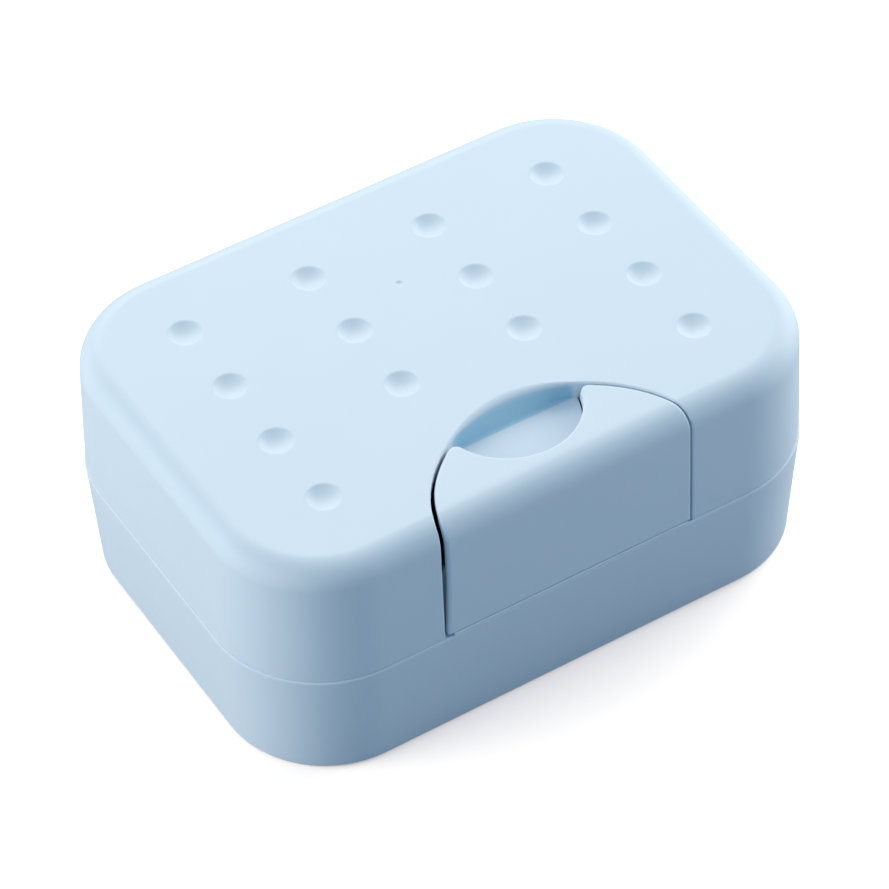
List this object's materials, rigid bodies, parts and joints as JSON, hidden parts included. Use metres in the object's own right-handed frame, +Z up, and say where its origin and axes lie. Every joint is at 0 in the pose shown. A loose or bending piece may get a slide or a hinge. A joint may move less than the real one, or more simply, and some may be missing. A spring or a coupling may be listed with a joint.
{
  "type": "travel soap box",
  "caption": "Rounded plastic travel soap box: hinged lid with small dimples, front clasp with a finger scoop, base tray and a lift-out slotted drain rack.",
  "frame": {"origin": "middle of the base's flat underside", "axes": "+X along the box's length, +Z up, the clasp and its finger scoop face -Y, the lid's hinge is at +Y"},
  "size_m": [0.11, 0.0834, 0.047],
  "materials": {
    "shell_plastic": "satin moulded polypropylene, pale blue",
    "clasp_plastic": "satin moulded polypropylene, pale blue",
    "rack_plastic": "satin moulded polypropylene, translucent white",
    "pin_steel": "drawn wire"
  },
  "bodies": {
    "base": {"base_tray": "shell_plastic", "lid_hinge_pin": "pin_steel"},
    "lid": {"lid_cover": "shell_plastic"},
    "clasp": {"front_clasp": "clasp_plastic"},
    "rack": {"drain_rack": "rack_plastic"}
  },
  "joints": [
    {"name": "lid_hinge", "type": "hinge", "parent": "base", "child": "lid", "pos_m": [0, 0.04185, 0.02247], "axis": [-1, 0, 0], "range_deg": [0, 110]},
    {"name": "clasp_hinge", "type": "hinge", "parent": "base", "child": "clasp", "pos_m": [0, -0.03925, 0.0227], "axis": [1, 0, 0], "range_deg": [0, 115]},
    {"name": "rack_lift", "type": "slide", "parent": "base", "child": "rack", "axis": [0, 0, 1], "range_m": [0, 0.018]}
  ]
}
